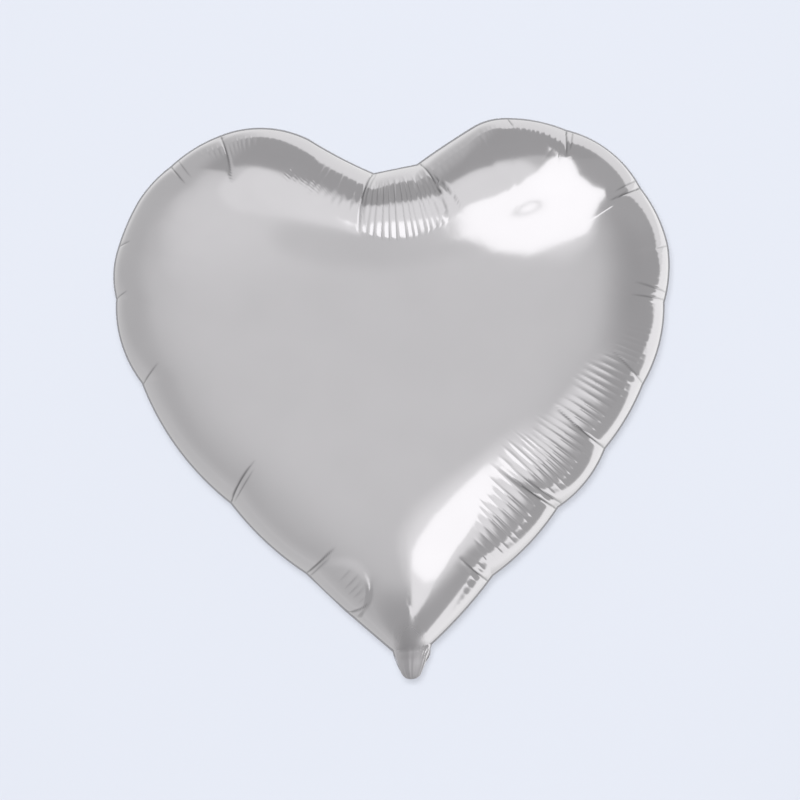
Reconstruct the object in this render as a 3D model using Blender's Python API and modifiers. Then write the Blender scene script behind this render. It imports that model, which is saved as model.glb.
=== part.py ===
"""A filled heart-shaped balloon of metallised film, with its filling tail folded up behind it.

Frame: +Z up and the front faces -Y. The origin is in the neck, where a ribbon ties round it.
Sizes below are in millimetres, and the model is in metres.
"""

import math

import bpy
import numpy as np
from mathutils import Vector

MM = 0.001

# Envelope
HALF_DEPTH = 90.0  # the crown of each panel from the seam plane
CROWN = (-4.0, 205.0)  # x and z of the point that the panels' ribs run to
FILM = 1.2  # drawn thickness of the panels; the real film is about 0.04
GAP = 0.3  # between pieces that touch
WELD_WIDTH = 2.0
NECK_WELD_WIDTH = 1.0  # where the weld ends, at the fold
WELD_THICKNESS = 1.0
LIP = 0.6  # the panel stands square to the seam plane for this far
RIB_STEP = 13.0  # spacing of the panels' ribs along the seam
RINGS = 10  # rows of faces from the seam to the crown
EDGE_GAIN = 0.18  # how much fuller than a half ellipse the film is next to the seam
THROAT_DEPTH = 12.0  # half the throat's opening, front to back
THROAT_STEPS = 4

FOLD_STEPS = 6  # faces round the fold

# The seam's outer edge, clockwise from the left side of the cleft.
# Each row is a pucker's x and z, and how far the edge bows out before the next pucker.
SEAM = (
    (-15.0, 328.0, 0.0),
    (14.5, 333.0, 0.5),
    (55.0, 358.0, 1.5),
    (77.5, 362.5, 2.0),
    (117.5, 353.0, 7.0),
    (167.0, 311.5, 2.5),
    (184.5, 271.0, 2.0),
    (180.5, 232.5, 4.0),
    (164.0, 177.0, 2.0),
    (136.5, 134.0, 4.0),
    (103.0, 95.0, 3.0),
    (57.0, 50.0, 1.5),
    (13.5, 4.5, 0.0),
    (6.0, -13.0, 6.0),
    (-8.5, -13.5, 0.5),
    (-13.5, 0.5, 0.0),
    (-45.0, 29.5, 0.0),
    (-71.0, 56.0, 3.0),
    (-120.5, 105.5, 7.0),
    (-178.5, 190.0, 5.5),
    (-194.0, 248.0, 2.5),
    (-191.5, 283.0, 1.0),
    (-176.5, 314.5, 1.5),
    (-153.5, 337.5, 2.0),
    (-118.5, 357.5, 6.5),
    (-58.0, 352.5, -1.0),
)
THROAT_RIGHT_ROW = 12
FOLD_ROW = 13  # the row whose bow is the round bottom of the folded neck, with no weld
THROAT_LEFT_ROW = 15

# Neck, from the throat down to the fold: each row is a section's left x and z, its right x and z,
# and half its depth.
NECK_SECTIONS = (
    (-11.0, 0.8, 10.8, 4.6, 12.0),
    (-11.0, 0.0, 10.8, 3.8, 12.0),
    (-9.6, -4.5, 8.1, -3.2, 10.0),
    (-8.3, -9.0, 6.1, -8.5, 8.3),
    (-6.9, -13.4, 4.4, -13.0, 6.3),
    (-5.4, -16.6, 3.4, -16.3, 4.3),
    (-3.4, -18.5, 1.4, -18.4, 2.2),
)
NECK_BOTTOM = (-1.0, -19.2)
NECK_SIDES = 24

# Tail
FOLD_Y = 5.4  # the fold's axis runs along X
FOLD_Z = -17.6
TAIL_LEAN = 48.0  # degrees back from straight up
TAIL_LENGTH = 70.0
TAIL_HALF_WIDTH = 12.5
TAIL_ROOT_HALF_WIDTH = 4.0
TAIL_GATHER = 24.0  # length over which the tail spreads to its full width
BACK_FILM_LENGTH = 62.0  # cut shorter, so that the valve's mouth shows
TAIL_FILM = 0.6
TAIL_WELD_WIDTH = 3.0
VALVE_FILM = 0.4
VALVE_HALF_WIDTH = 9.0
VALVE_START = 8.0
VALVE_LENGTH = 66.0

# Layers of the tail, from its middle plane outward
VALVE_OFFSET = GAP / 2 + VALVE_FILM / 2
TAIL_FILM_OFFSET = VALVE_OFFSET + VALVE_FILM / 2 + GAP + TAIL_FILM / 2


def clear_scene():
    for found in list(bpy.data.objects):
        bpy.data.objects.remove(found)


def new_collection(name):
    made = bpy.data.collections.new(name)
    bpy.context.scene.collection.children.link(made)
    return made


def material(name, colour, metallic, roughness, alpha=1.0):
    made = bpy.data.materials.new(name)
    made.use_nodes = True
    shader = made.node_tree.nodes["Principled BSDF"]
    shader.inputs["Base Color"].default_value = (*colour, 1.0)
    shader.inputs["Metallic"].default_value = metallic
    shader.inputs["Roughness"].default_value = roughness
    shader.inputs["Alpha"].default_value = alpha
    return made


def add_object(name, vertices, faces, finish, collection):
    """A named mesh object from points in millimetres."""
    mesh = bpy.data.meshes.new(name)
    mesh.from_pydata([Vector(v) * MM for v in vertices], [], faces)
    mesh.materials.append(finish)
    mesh.shade_smooth()
    made = bpy.data.objects.new(name, mesh)
    collection.objects.link(made)
    return made


def thicken(target, thickness, offset):
    """Solidify: offset -1 grows against the faces' normals, and 0 both ways."""
    shell = target.modifiers.new("Film", "SOLIDIFY")
    shell.thickness = thickness * MM
    shell.offset = offset
    shell.use_even_offset = True


def bowed(start, end, bow, steps):
    """Points on the arc from start towards end, end left out. A positive bow lies to the left."""
    start, end = np.array(start, float), np.array(end, float)
    chord = end - start
    half = np.linalg.norm(chord) / 2
    outward = np.array([-chord[1], chord[0]]) / (2 * half)
    share = np.arange(steps) / steps
    if abs(bow) < 0.01:
        return start + share[:, None] * chord
    radius = (half * half + bow * bow) / (2 * bow)
    half_angle = 2 * math.atan(bow / half)
    angle = (2 * share - 1) * half_angle
    along = half + radius * np.sin(angle)
    rise = radius * np.cos(angle) - (radius - bow)
    return start + along[:, None] * chord / (2 * half) + rise[:, None] * outward


def seam_outline():
    """The seam's outer edge as points, its outward normals, the weld's width at each point, which
    is 0 round the bottom of the folded neck, and the place in the list of each row's own point."""
    points, widths, places = [], [], []
    for row, (x, z, bow) in enumerate(SEAM):
        next_x, next_z, _ = SEAM[(row + 1) % len(SEAM)]
        length = math.hypot(next_x - x, next_z - z)
        steps = FOLD_STEPS if row == FOLD_ROW else max(1, round(length / RIB_STEP))
        places.append(len(points))
        points.extend(bowed((x, z), (next_x, next_z), bow, steps))
        at_fold = row in (FOLD_ROW, FOLD_ROW + 1)
        widths.append(NECK_WELD_WIDTH if at_fold else WELD_WIDTH)
        widths.extend([0.0 if row == FOLD_ROW else WELD_WIDTH] * (steps - 1))
    points = np.array(points)
    along = np.roll(points, -1, axis=0) - np.roll(points, 1, axis=0)
    normals = np.stack([-along[:, 1], along[:, 0]], axis=1)
    normals /= np.linalg.norm(normals, axis=1)[:, None]
    return points, normals, np.array(widths), places


def panel_edge():
    """The panel's edge inside the weld, closed by a straight throat, and each point's stand
    there: 0 along the seam and an arch across the throat, where the panel is open to the neck."""
    outline, normals, widths, places = seam_outline()
    first, last = places[THROAT_LEFT_ROW], places[THROAT_RIGHT_ROW] + len(outline)
    order = np.arange(first, last + 1) % len(outline)
    seam = outline[order] - (widths[order, None] + GAP) * normals[order]
    across = np.arange(1, THROAT_STEPS) / THROAT_STEPS
    throat = seam[-1] + across[:, None] * (seam[0] - seam[-1])
    arch = THROAT_DEPTH * np.sqrt(1 - (2 * across - 1) ** 2)
    return np.concatenate([seam, throat]), np.concatenate([np.zeros(len(seam)), arch])


def ring_mesh(edge, rings):
    """Flat points and triangles of rings that shrink from the edge to the crown point."""
    count = len(edge)
    shares = np.cos(np.linspace(0, math.pi / 2, rings + 1))[:-1]
    crown = np.array(CROWN)
    points = np.concatenate([crown + share * (edge - crown) for share in shares] + [[crown]])
    here = np.arange(count)
    after = (here + 1) % count
    triangles = []
    for ring in range(rings - 1):
        outer, inner = ring * count, (ring + 1) * count
        triangles.append(np.stack([outer + here, outer + after, inner + after], axis=1))
        triangles.append(np.stack([outer + here, inner + after, inner + here], axis=1))
    last = (rings - 1) * count
    top = np.full(count, rings * count)
    triangles.append(np.stack([last + here, last + after, top], axis=1))
    return points, np.concatenate(triangles)


def membrane(points, triangles, edge_rise):
    """The rise of an evenly loaded membrane held at its edge, as a share of its highest."""
    count, held = len(points), len(edge_rise)
    stiffness = np.zeros((count, count))
    load = np.zeros(count)
    for corner in range(3):
        i, j, k = (triangles[:, (corner + turn) % 3] for turn in range(3))
        to_j, to_k = points[j] - points[i], points[k] - points[i]
        twice_area = np.abs(to_j[:, 0] * to_k[:, 1] - to_j[:, 1] * to_k[:, 0])
        weight = (to_j * to_k).sum(axis=1) / twice_area / 2
        np.add.at(stiffness, (j, k), -weight)
        np.add.at(stiffness, (k, j), -weight)
        np.add.at(stiffness, (j, j), weight)
        np.add.at(stiffness, (k, k), weight)
        np.add.at(load, i, twice_area / 6)
    free = stiffness[held:, held:]
    loaded = np.linalg.solve(free, load[held:])
    pulled = np.linalg.solve(free, -stiffness[held:, :held] @ edge_rise)
    rise = loaded / loaded.max() + pulled
    return np.concatenate([edge_rise, rise / rise.max()])


def film_profile(rise):
    """How far the film stands out, from 0 to 1: steep at the seam and flat at the crown.
    For a round balloon this is close to the curve that a film which can't stretch takes."""
    return np.sqrt(rise) * (1 + EDGE_GAIN * (1 - rise) ** 0.66)


def add_panel(name, side, finish, collection):
    """One film of the envelope, dished out to the front (side -1) or back (side 1)."""
    edge, arch = panel_edge()
    count = len(edge)
    flat, triangles = ring_mesh(edge, RINGS)
    edge_rise = (arch / HALF_DEPTH / (1 + EDGE_GAIN)) ** 2
    stand = HALF_DEPTH * film_profile(membrane(flat, triangles, edge_rise))
    root = GAP / 2
    stand[:count] = arch + np.where(arch > 0, 0.0, root + LIP)
    dome = [(x, side * out, z) for (x, z), out in zip(flat, stand)]
    lip = []
    for (x, z), out in zip(edge, arch):
        lip.append((x, side * out, z - LIP) if out > 0 else (x, side * root, z))
    here = np.arange(count)
    after = (here + 1) % count
    lip_faces = np.stack([here, after, after + count, here + count], axis=1).tolist()
    faces = lip_faces + (triangles + count).tolist()
    if side < 0:
        faces = [face[::-1] for face in faces]
    panel = add_object(name, lip + dome, faces, finish, collection)
    thicken(panel, FILM, -1)
    return panel


def add_neck(finish, collection):
    """The neck that hangs below the throat and ends round, where it folds back into the tail."""
    vertices = []
    turns = np.arange(NECK_SIDES) * 2 * math.pi / NECK_SIDES
    for left_x, left_z, right_x, right_z, depth in NECK_SECTIONS:
        for cosine, sine in zip(np.cos(turns), np.sin(turns)):
            share = (1 + cosine) / 2
            x = left_x + share * (right_x - left_x)
            z = left_z + share * (right_z - left_z)
            vertices.append((x, depth * sine, z))
    pole = len(vertices)
    vertices.append((NECK_BOTTOM[0], 0.0, NECK_BOTTOM[1]))
    faces = []
    for section in range(len(NECK_SECTIONS) - 1):
        start = section * NECK_SIDES
        for side in range(NECK_SIDES):
            after = (side + 1) % NECK_SIDES
            upper, lower = start, start + NECK_SIDES
            faces.append((upper + after, upper + side, lower + side, lower + after))
    last = pole - NECK_SIDES
    faces += [(last + (side + 1) % NECK_SIDES, last + side, pole) for side in range(NECK_SIDES)]
    neck = add_object("neck", vertices, faces, finish, collection)
    thicken(neck, FILM, -1)
    return neck


def add_seam_weld(finish, collection):
    """The flat welded rim, from one side of the folded neck all the way round to the other."""
    outline, normals, widths, places = seam_outline()
    first, last = places[FOLD_ROW + 1], places[FOLD_ROW] + len(outline)
    order = np.arange(first, last + 1) % len(outline)
    outer = outline[order]
    inner = outer - widths[order, None] * normals[order]
    count = len(order)
    vertices = [(x, 0.0, z) for x, z in np.concatenate([outer, inner])]
    faces = [(i, i + 1, count + i + 1, count + i) for i in range(count - 1)]
    weld = add_object("seam_weld", vertices, faces, finish, collection)
    thicken(weld, WELD_THICKNESS, 0)
    return weld


def tail_half_width(along):
    """The tail's half width at a distance from the fold: gathered there, then full."""
    share = min(1.0, max(0.0, along / TAIL_GATHER))
    return TAIL_ROOT_HALF_WIDTH + share * (TAIL_HALF_WIDTH - TAIL_ROOT_HALF_WIDTH)


def add_strip(name, rows, thickness, finish, collection):
    """A sheet through rows of (left x, right x, distance out, distance along the tail)."""
    vertices = []
    for left, right, out, along in rows:
        vertices += [(left, out, along), (right, out, along)]
    faces = [(2 * i, 2 * i + 1, 2 * i + 3, 2 * i + 2) for i in range(len(rows) - 1)]
    strip = add_object(name, vertices, faces, finish, collection)
    thicken(strip, thickness, 0)
    return strip


def add_tail(film, valve, collection):
    """The filling tail. Its pieces are made along +Z from the fold, and lean back with their parent."""
    fold = bpy.data.objects.new("tail_fold_axis", None)
    collection.objects.link(fold)
    fold.location = Vector((0.0, FOLD_Y, FOLD_Z)) * MM
    fold.rotation_euler = (-math.radians(TAIL_LEAN), 0.0, 0.0)

    stations = (0.0, TAIL_GATHER)
    out = TAIL_FILM_OFFSET
    round_fold = []
    for step in range(FOLD_STEPS):
        turn = math.radians(-100.0 * (1 - step / FOLD_STEPS))
        width = TAIL_ROOT_HALF_WIDTH
        round_fold.append((-width, width, out * math.cos(turn), out * math.sin(turn)))
    strips = [
        (
            "tail_front_film",
            round_fold
            + [(-tail_half_width(s), tail_half_width(s), out, s) for s in (*stations, TAIL_LENGTH)],
            TAIL_FILM,
            film,
        ),
        (
            "tail_back_film",
            [(-tail_half_width(s), tail_half_width(s), -out, s) for s in (*stations, BACK_FILM_LENGTH)],
            TAIL_FILM,
            film,
        ),
    ]
    for name, side in (("tail_weld_left", -1), ("tail_weld_right", 1)):
        rows = []
        for s in (*stations, BACK_FILM_LENGTH):
            outer, inner = tail_half_width(s), tail_half_width(s) - TAIL_WELD_WIDTH
            rows.append((*sorted((side * outer, side * inner)), 0.0, s))
        strips.append((name, rows, 2 * (out - TAIL_FILM / 2 - GAP), film))
    for name, side in (("valve_film_front", 1), ("valve_film_back", -1)):
        rows = []
        for s in (VALVE_START, TAIL_GATHER, VALVE_LENGTH):
            width = min(VALVE_HALF_WIDTH, tail_half_width(s) - TAIL_WELD_WIDTH - GAP)
            rows.append((-width, width, side * VALVE_OFFSET, s))
        strips.append((name, rows, VALVE_FILM, valve))
    for name, rows, thickness, finish in strips:
        strip = add_strip(name, rows, thickness, finish, collection)
        strip.parent = fold


def build():
    clear_scene()
    collection = new_collection("heart_balloon")
    front_film = material("metallised_film_front", (0.62, 0.62, 0.63), 1.0, 0.12)
    back_film = material("metallised_film_back", (0.6, 0.6, 0.61), 1.0, 0.12)
    welded = material("welded_film", (0.55, 0.55, 0.56), 1.0, 0.2)
    tail_film = material("metallised_film_tail", (0.58, 0.58, 0.59), 1.0, 0.16)
    valve_film = material("clear_valve_film", (0.85, 0.87, 0.88), 0.0, 0.25, 0.6)
    add_panel("front_panel", -1, front_film, collection)
    add_panel("back_panel", 1, back_film, collection)
    add_seam_weld(welded, collection)
    add_neck(front_film, collection)
    add_tail(tail_film, valve_film, collection)


build()
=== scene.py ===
import math

import bpy
import numpy as np
from mathutils import Matrix, Vector


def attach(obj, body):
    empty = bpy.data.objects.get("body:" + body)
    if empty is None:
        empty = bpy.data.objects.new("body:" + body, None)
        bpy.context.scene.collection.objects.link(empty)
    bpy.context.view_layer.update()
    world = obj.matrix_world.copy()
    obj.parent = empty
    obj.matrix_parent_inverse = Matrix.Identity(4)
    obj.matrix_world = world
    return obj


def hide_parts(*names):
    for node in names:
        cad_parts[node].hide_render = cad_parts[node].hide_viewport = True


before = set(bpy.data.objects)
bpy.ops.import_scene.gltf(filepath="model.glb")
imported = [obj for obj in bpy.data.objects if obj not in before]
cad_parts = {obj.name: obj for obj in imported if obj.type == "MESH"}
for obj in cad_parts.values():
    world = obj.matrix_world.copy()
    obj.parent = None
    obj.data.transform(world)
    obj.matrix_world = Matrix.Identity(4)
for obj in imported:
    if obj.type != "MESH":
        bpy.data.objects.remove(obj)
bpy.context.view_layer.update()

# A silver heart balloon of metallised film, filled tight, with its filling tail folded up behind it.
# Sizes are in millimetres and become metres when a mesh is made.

MM = 0.001

# Envelope
HALF_DEPTH = 90.0
CROWN = (-4.0, 205.0)  # where it is deepest
SHARE_LEAST = 1e-5
FULLNESS = (0.2827, -0.0982)  # how a film that can't stretch stands fuller than an ellipse
WELD_WIDTH = 1.2
WELD_TUCK = 0.4  # how far the weld reaches in between the panels
THROAT_DEPTH = 12.0
COLUMN_STEP = 0.46  # least spacing of the mesh along the seam
RIM_STEP = 0.62
SPARSEST = 0.36  # share of the columns that is kept where the film is smooth
WRINKLE_HEIGHT_FULL = 0.12  # height and reach from which every column is kept
WRINKLE_REACH_FULL = 45.0
CREASE_SPAN = 13.0  # to each side of a crease, every column is kept
CREASE_SPAN_FADE = 0.4  # share of that span over which the columns thin out again
RINGS = 76
HALVINGS = ((0.42, 2), (0.64, 4), (0.84, 8))  # share of the way to the crown, and columns dropped
SMOOTH_MOST = 16.0  # smoothing length of the outline that the whole panel follows
SMOOTH_GROWTH = 0.3
SMOOTH_LEAST = 0.5
SCALLOP_REACH = 20.0  # how far the seam's scallops carry into the panel
EDGE_FADES = (2.0, 3.0)  # depths over which creases, and then the pouch, start from nothing
THROAT_CLEAR = 3.0  # nothing wrinkles nearer than this to the throat
FEET_AT_ONCE = 4000

# The seam's outer edge, clockwise from the left side of the cleft: a pucker's x and z, and how far
# the edge bows out before the next pucker.
SEAM = (
    (-15, 328, 0),
    (14.5, 333, 0.5),
    (55, 358, 1.5),
    (77.5, 362.5, 2),
    (117.5, 353, 7),
    (167, 311.5, 2.5),
    (184.5, 271, 2),
    (180.5, 232.5, 4),
    (164, 177, 2),
    (136.5, 134, 4),
    (103, 95, 3),
    (57, 50, 1.5),
    (13.5, 4.5, 0),
    (6, -13, 6),
    (-8.5, -13.5, 0.5),
    (-13.5, 0.5, 0),
    (-45, 29.5, 0),
    (-71, 56, 3),
    (-120.5, 105.5, 7),
    (-178.5, 190, 5.5),
    (-194, 248, 2.5),
    (-191.5, 283, 1),
    (-176.5, 314.5, 1.5),
    (-153.5, 337.5, 2),
    (-118.5, 357.5, 6.5),
    (-58, 352.5, -1),
)
THROAT_RIGHT_ROW = 12
FOLD_ROW = 13
THROAT_LEFT_ROW = 15

# Fine wrinkles that run in from the seam, all round it: a place on the seam, how far they reach,
# how high they stand and how far apart they are.
WRINKLES = (
    (-13.5, 0.5, 6, 0.02, 4), (-33, 19, 12, 0.05, 4.5), (-45, 29.5, 26, 0.14, 4.5),
    (-60, 45, 32, 0.14, 5), (-71, 56, 20, 0.06, 5), (-95, 80, 14, 0.03, 6),
    (-120.5, 105.5, 22, 0.05, 6), (-150, 145, 12, 0.02, 6), (-178.5, 190, 12, 0.03, 6),
    (-194, 248, 9, 0.03, 5), (-191.5, 283, 9, 0.03, 5), (-176.5, 314.5, 10, 0.03, 5),
    (-153.5, 337.5, 14, 0.05, 4.5), (-135, 349, 13, 0.08, 4), (-118.5, 357.5, 20, 0.24, 3.6),
    (-95, 358, 17, 0.12, 3.8), (-75, 355, 22, 0.06, 4.5), (-58, 352.5, 36, 0.13, 4.4),
    (-30, 338, 46, 0.2, 4.4), (-15, 328, 46, 0.16, 4.2), (0, 330, 26, 0.12, 3.8),
    (14.5, 333, 28, 0.12, 3.8), (30, 343, 22, 0.06, 4.5), (55, 358, 14, 0.04, 4.5),
    (77.5, 362.5, 12, 0.08, 4), (95, 362, 16, 0.14, 3.4), (117.5, 353, 14, 0.1, 3.8),
    (145, 336, 10, 0.03, 5), (167, 311.5, 14, 0.05, 5), (184.5, 271, 12, 0.05, 4.5),
    (180.5, 232.5, 22, 0.09, 4.5), (172, 200, 32, 0.12, 4.8), (164, 177, 44, 0.17, 5.2),
    (152, 158, 54, 0.2, 5.4), (122, 118, 60, 0.22, 5.6), (97, 89, 62, 0.22, 5.6),
    (75, 67, 48, 0.19, 5.2), (52, 45, 22, 0.1, 4.8), (40, 32, 10, 0.04, 4.5),
    (13.5, 4.5, 5, 0.02, 4),
)

WRINKLE_GAINS = (2.5, 1.9)  # height on the front and back, as a share of the table's
WRINKLE_SPACINGS = (0.7, 1.35)  # how single wrinkles differ from the table, as shares of it
WRINKLE_REACHES = (0.82, 1.08)
WRINKLE_HEIGHTS = (0.5, 1.2)
WRINKLE_BEGIN = 0.25  # depth where one begins, as a share of its reach, and its least and most
WRINKLE_BEGINS = (3.0, 6.0)
WRINKLE_RISE = 0.35  # shares of the reach over which it grows and fades
WRINKLE_FADE = 0.4
WRINKLE_CREST = 2.0  # how narrow the crests are
WRINKLE_MEAN = 0.31  # what keeps the wrinkled film at its mean height

# Creases on the front: where one starts at the seam, where it ends, how deep and how wide its fold
# is, how far it bows to its left, and how deep the wide valley is that the fold pulls in.
CREASES = (
    (-15, 328, -25, 281, 1.2, 0.8, -3.2, 0.7), (-14, 324, -22, 285, 0.5, 0.8, -2.6, 0),
    (17, 332, 34, 290, 1.2, 0.8, 2.6, 0.7), (28, 318, 42, 298, 0.7, 0.7, 1, 0),
    (77.3, 362, 80.5, 354, 0.8, 0.9, 0, 0.4), (117.5, 353, 114.6, 331, 1.3, 1.1, 0, 0.9),
    (121.5, 350, 117.5, 336, 0.6, 0.8, 0, 0), (167, 311.5, 141.5, 300.5, 1.3, 1.1, 0, 0.9),
    (163, 316, 146, 307, 0.6, 0.8, 0, 0), (184, 271, 172, 268, 0.5, 0.9, 0, 0.4),
    (177.5, 234.5, 153.6, 237.4, 0.6, 0.9, 0, 0.4), (178.5, 240, 156, 246, 0.6, 0.9, 0, 0),
    (164, 177, 140, 200, 0.6, 0.9, 0, 0.3), (136.5, 134, 99.8, 165.4, 1, 1, 1.5, 0.5),
    (102, 94, 60.8, 125.8, 1.2, 1, 1, 0.6), (105, 98, 68, 127, 0.7, 0.8, 1, 0),
    (52, 48, 32.8, 66.6, 0.9, 0.9, 0, 0.5), (-118.5, 357, -109.5, 319.8, 0.9, 1.4, 2, 0.7),
    (-153.5, 337.5, -141, 322, 0.9, 0.8, 0, 0.4), (-148, 341, -137, 326, 0.5, 0.8, 0, 0),
    (-192, 283, -180, 286, 0.7, 0.8, 0, 0.2), (-193, 248, -183, 252.5, 0.7, 0.8, 0, 0.2),
    (-176, 190, -163, 203, 0.8, 0.8, 0, 0.2), (-120.5, 105.5, -99.5, 136.1, 1.1, 0.9, 1.5, 0.4),
    (-113, 113, -101, 130, 0.5, 0.8, 0, 0), (-71, 56, -48.5, 76, 1.1, 0.9, 0, 0.5),
    (-66, 57, -52, 70, 0.5, 0.8, 0, 0), (-45, 29.5, -26.4, 38.5, 0.9, 0.9, -1.5, 0.4),
)
VALLEY_WIDTH = 9.0  # of the wide valley, to each side
FOLD_LINE = 0.55  # half width of the painted shade line where the film touches itself in a fold
CREASE_START = 6.0  # over this length it starts from nothing
CREASE_ROUND = 0.2  # how round the fold's bottom is
PINCH = 0.45  # how much of a crease's depth stands up again as shoulders beside it
SHOULDER_WIDTH = 2.6  # of the shoulders, as a share of the fold's width
BACK_CREASE_LENGTHS = (14.0, 46.0)
BACK_CREASE_DEPTHS = (0.4, 1.1)
BACK_CREASE_WIDTHS = (0.9, 1.5)
BACK_CREASE_PULLS = (0.2, 1.2)
BACK_CREASE_SWING = 0.25  # to each side of the line to the crown
BACK_CREASE_LOWEST = 10.0  # puckers below this height have none

# Between two puckers the film stands up a little beside the seam
PILLOW_SHARE = 0.008  # of the distance between the puckers
PILLOW_DEPTH = 11.0  # where it stands highest, from the seam
PILLOW_POWER = 1.2
PILLOW_MEAN = 0.5

# Pleats under the cleft: how many, their height, the share of each that is steep, the depths from
# the seam where they begin and end, and the lines between which they lie
PLEATS = 13
PLEAT_HEIGHT = 0.42
PLEAT_STEEP = 0.22
PLEAT_WIDTHS = (0.65, 1.35)  # how single pleats differ in width and height
PLEAT_HEIGHTS = (0.3, 1.0)
PLEAT_PAINTED_SHADE = 0.45  # how dark the painted shade line at each pleat's foot is, and its half width
PLEAT_LINE = 0.4
PLEAT_DEPTHS = (9.0, 51.0)
PLEAT_FADES = (9.0, 5.0)
PLEAT_BULGE = 4.0  # how much further in the middle ones end
PLEAT_TOP = 330.0
PLEAT_DROP = 42.0  # the lines' ends are this far below the top
PLEAT_DROPS = 2  # no pleat is further down than this many drops
PLEAT_LEFT = (-15.5, -25.0)
PLEAT_RIGHT = (18.0, 34.0)

# The small slack pouch above the left of the neck: its place and direction on the seam
POUCH_PLACE = (-54.5, 39.5)
POUCH_ALONG = (-0.70, 0.71)
POUCH_HALF_WIDTH = 25.0
POUCH_REACH = 34.0
POUCH_HEIGHT = 1.5
POUCH_EDGE = 0.17

# Rim weld: it narrows to a share of its width at the fold, and has fine ripples along it
RIM_THICKNESS = 0.25
RIM_ROWS = 5
RIM_END_SHARE = 0.3
RIM_END_FROM = 8.0
RIM_END_LENGTH = 14.0
RIM_RIPPLES = ((3.1, 0.03), (4.7, 0.04), (9.0, 0.05))  # how long each is, and how high
RIM_RIPPLE_PHASES = (0, 6)
RIM_RIPPLE_DRIFT = 17.0  # their spacing varies over this length

# Neck, from the throat down to the fold: left x and z, right x and z, half depth, and how far back
# its middle is set
NECK_SECTIONS = (
    (-20, 9.5, 17, 14.5, 24.4, 0), (-17, 6.5, 14.2, 11, 21, 0), (-14.2, 3.8, 12.6, 7.6, 16.6, 0),
    (-12.9, 1, 12.7, 4.4, 12.6, 0), (-12.2, -1.8, 11.7, 0.8, 10.1, 0.1),
    (-11.2, -5, 9.8, -4, 7.5, 0.5), (-9.9, -9.2, 8.1, -8.9, 5.5, 1.4),
    (-8.6, -13.2, 6.4, -13, 4.1, 2.7), (-7.1, -16.3, 4.9, -16.2, 2.8, 3.8),
    (-5.3, -18, 2.9, -17.9, 1.8, 4.3), (-3.3, -18.7, 0.9, -18.7, 0.9, 4.5),
    (-1.6, -19, -0.9, -19, 0.4, 4.6),
)
GATHER_PLACE = (-1.5, 1.0)  # the middle of the gathered film above the neck, and how far it reaches
GATHER_REACH = (14.0, 30.0)
GATHER_FULL = 1.2
CRUMPLE_PLACE = (8.5, 0.5)  # crumpled film at the right of the throat
CRUMPLE_REACH = 4.5
CRUMPLE_HEIGHT = 0.3
CRUMPLE_WAVES = ((2.6, 1.1), (-0.7, 2.1), (4.3, -2.2))  # two that cross, and a lower one over them
NECK_ROWS = 84
NECK_SIDES = 144
NECK_GATHERS = ((3, 0.12), (5, 0.12), (9, 0.10), (14, 0.08), (21, 0.06))  # folds round it, and height
NECK_GATHER_DRIFT = 0.03  # how far a fold may turn from one row to the next
NECK_LEAST_DEPTH = 0.2

# Tail: the line it folds about, how far it leans back from upright, and its films
FOLD_Y = 5.4
FOLD_Z = -17.6
TAIL_LEAN = 48.0
TAIL_LENGTH = 70.0
BACK_FILM_LENGTH = 62.0
TAIL_HALF_WIDTH = 12.5
TAIL_ROOT_HALF_WIDTH = 2.2
TAIL_WIDEN = 24.0  # the length over which it widens from its root
TAIL_ROWS = 90
TAIL_COLUMNS = 61
TAIL_THICKNESS = 0.25
TAIL_FULL = 0.5  # how far each film bulges
TAIL_FULL_FROM = 5.0
TAIL_WRAP = 100.0  # the angle that the front film wraps round the fold
TAIL_WRAP_ROWS = 12
TAIL_GATHERS = ((2, 0.3), (3, 0.25), (5, 0.15), (7, 0.1))  # folds that run out from the root, and height
TAIL_GATHER_SHARE = 0.35
TAIL_GATHER_FROM = 4.0
TAIL_GATHER_REACH = 16.0
TAIL_SWAY = 0.125  # a slow wave along it, and how long that is
TAIL_SWAY_LENGTH = 9.0
TAIL_WELD_WIDTH = 3.0
TAIL_WELD_START = 2.5
TAIL_WELD_THICKNESS = 0.9
TAIL_WELD_ROWS = 7
TAIL_WELD_STATIONS = 210
CRIMP_SPACING = 1.2
CRIMP_HEIGHT = 0.07
VALVE_HALF_WIDTH = 9.0
VALVE_START = 8.0
VALVE_LENGTH = 66.0
VALVE_OUT = 0.35  # how far each strip is from the middle
VALVE_FULL = 0.05
VALVE_THICKNESS = 0.15
VALVE_WELD_GAP = 0.3

# Metallised film: what it shows, how far apart that is and how high it stands
GRAIN_SIZE = 0.4  # coarser than the real grain, so that it shows
GRAIN_HEIGHT = 0.004
DENT_SIZE = 9.0  # shallow dents left by handling
DENT_HEIGHT = 0.05
CLOUD_SIZE = 40.0  # clouding from uneven evaporation
CLOUD_NOISE = (0.3, 0.7)  # the noise's values between which it clouds
CLOUD_DIM = 0.97
CLOUD_ROUGHNESS = (0.85, 1.15)
GATHERED_SHADE_COLOUR = "CFCDD0"  # gathered at the neck, its fine folds scatter what it mirrors, and this darker colour is painted shade of those folds
GATHERED_ROUGHNESS = 0.36
PAINTED_FOLD_SHADE_COLOUR = "6E6E70"  # painted shade: in a tight fold the film mirrors only itself, so its colour is darkened there

# Valve film: its haze, in streaks that are 1.2 mm wide and run along it
HAZE_SIZES = (1.2, 14.0, 14.0)
HAZE_HEIGHT = 0.05
HAZE_BUMP = 0.4
HAZE_ROUGHNESS = (0.12, 0.34)
HAZE_ALPHA = (0.30, 0.55)

# Photo framing: the camera looks along +Y at the seam's plane
CAMERA_DISTANCE = 2000.0
FRAME_WIDTH = 546.8  # what 800 pixels span at the seam's plane
FRAME_CENTRE = (-2.5, 172.4)
ROLL = 2.0
SENSOR = 36.0


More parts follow.
